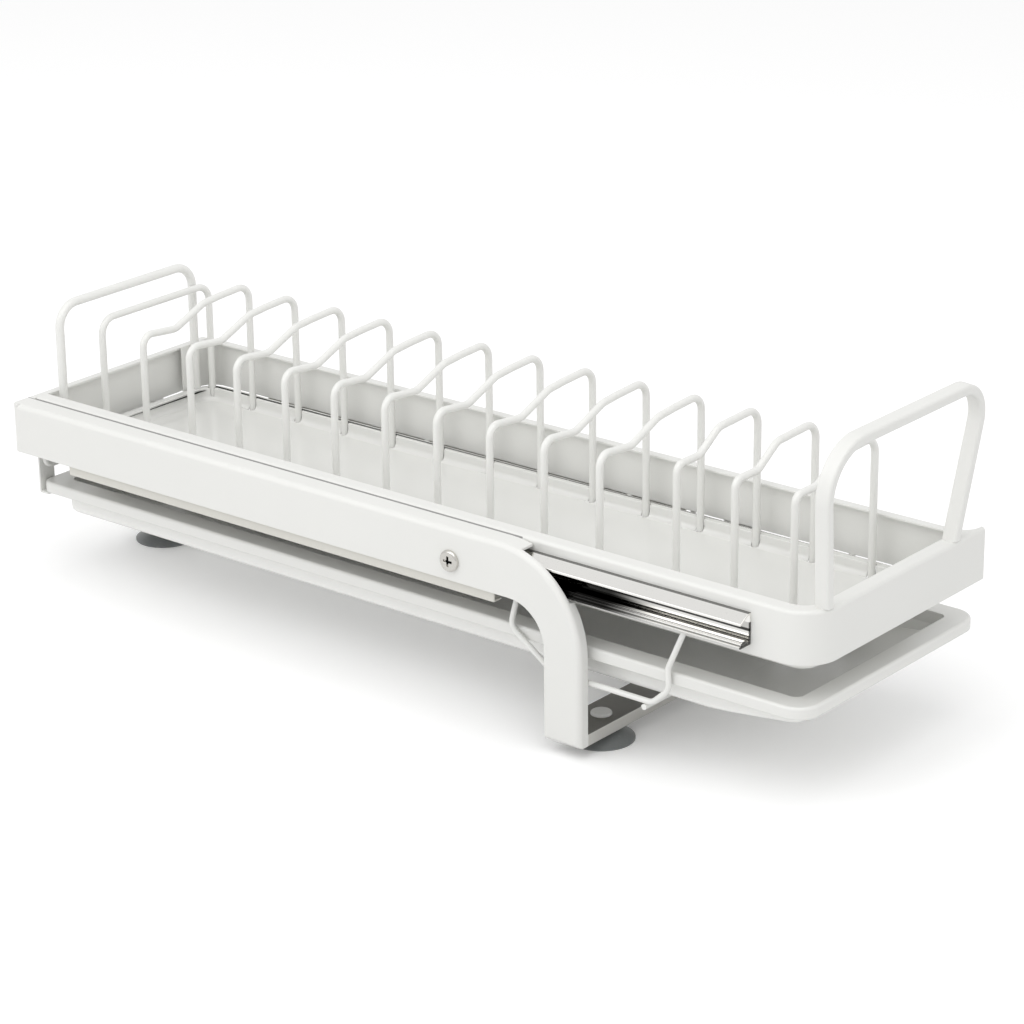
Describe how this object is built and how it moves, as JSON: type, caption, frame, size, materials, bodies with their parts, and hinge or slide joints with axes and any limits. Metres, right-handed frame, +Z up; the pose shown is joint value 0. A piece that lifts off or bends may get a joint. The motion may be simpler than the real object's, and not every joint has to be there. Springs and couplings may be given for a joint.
{
  "type": "pull-out dish rack",
  "caption": "Pull-out dish rack: a folded stand on suction feet carries a drawer with wire plate hoops, a drip insert and a handle on ball slides, over a sliding lower tray.",
  "frame": {"origin": "on the surface the rack stands on, under the middle of the whole rack with its drawer shut", "axes": "+X the way the drawer pulls out, from the back wall to the handle; +Y across the rack to the side whose hoops' legs stand at the wall; +Z up"},
  "size_m": [0.5345, 0.1684, 0.1895],
  "materials": {
    "painted_sheet": "satin off-white powder coat",
    "coated_wire": "glossy off-white coating",
    "carrier_paint": "pale satin paint",
    "bright_rail": "bright",
    "zinc_steel": "zinc plated",
    "screw_steel": "turned, satin",
    "insert_plastic": "glossy moulded",
    "tray_plastic": "glossy moulded",
    "stud_plastic": "moulded",
    "cup_rubber": "smooth grey rubber"
  },
  "bodies": {
    "stand": {"stand_frame": "painted_sheet", "front_foot_plate": "painted_sheet", "rear_foot_bracket": "painted_sheet", "suction_cup_front_near": "cup_rubber", "suction_cup_front_far": "cup_rubber", "suction_cup_rear": "cup_rubber", "cup_studs": "stud_plastic", "slide_carrier_near": "carrier_paint", "slide_carrier_far": "carrier_paint", "fixed_rail_near": "zinc_steel", "fixed_rail_far": "zinc_steel", "rail_rivets": "zinc_steel", "side_screws": "screw_steel"},
    "drawer": {"drawer_frame": "painted_sheet", "moving_rail_near": "bright_rail", "moving_rail_far": "bright_rail", "drip_insert": "insert_plastic", "rear_hoop": "coated_wire", "plain_hoop": "coated_wire", "plate_hoop_01": "coated_wire", "plate_hoop_02": "coated_wire", "plate_hoop_03": "coated_wire", "plate_hoop_04": "coated_wire", "plate_hoop_05": "coated_wire", "plate_hoop_06": "coated_wire", "plate_hoop_07": "coated_wire", "plate_hoop_08": "coated_wire", "plate_hoop_09": "coated_wire", "plate_hoop_10": "coated_wire", "plate_hoop_11": "coated_wire", "plate_hoop_12": "coated_wire", "plate_hoop_13": "coated_wire", "base_wire_near": "coated_wire", "base_wire_front": "coated_wire", "base_wire_far": "coated_wire", "cross_wires": "coated_wire", "front_handle": "painted_sheet", "cradle_bail_near": "coated_wire", "cradle_bail_far": "coated_wire", "cradle_wires": "coated_wire", "tray_hanger_near": "painted_sheet", "tray_hanger_far": "painted_sheet"},
    "cage_near": {"ball_cage_near": "zinc_steel", "slide_balls_near": "bright_rail"},
    "cage_far": {"ball_cage_far": "zinc_steel", "slide_balls_far": "bright_rail"},
    "tray": {"lower_tray": "tray_plastic"}
  },
  "joints": [
    {"name": "drawer_slide", "type": "slide", "parent": "stand", "child": "drawer", "axis": [1, 0, 0], "range_m": [0, 0.24]},
    {"name": "cage_near_slide", "type": "slide", "parent": "stand", "child": "cage_near", "axis": [1, 0, 0], "range_m": [0, 0.12]},
    {"name": "cage_far_slide", "type": "slide", "parent": "stand", "child": "cage_far", "axis": [1, 0, 0], "range_m": [0, 0.12]},
    {"name": "tray_slide", "type": "slide", "parent": "drawer", "child": "tray", "axis": [1, 0, 0], "range_m": [0, 0.12]}
  ],
  "couplings": [
    {"joint": "cage_near_slide", "follows": "drawer_slide", "ratio": 0.5},
    {"joint": "cage_far_slide", "follows": "drawer_slide", "ratio": 0.5}
  ]
}
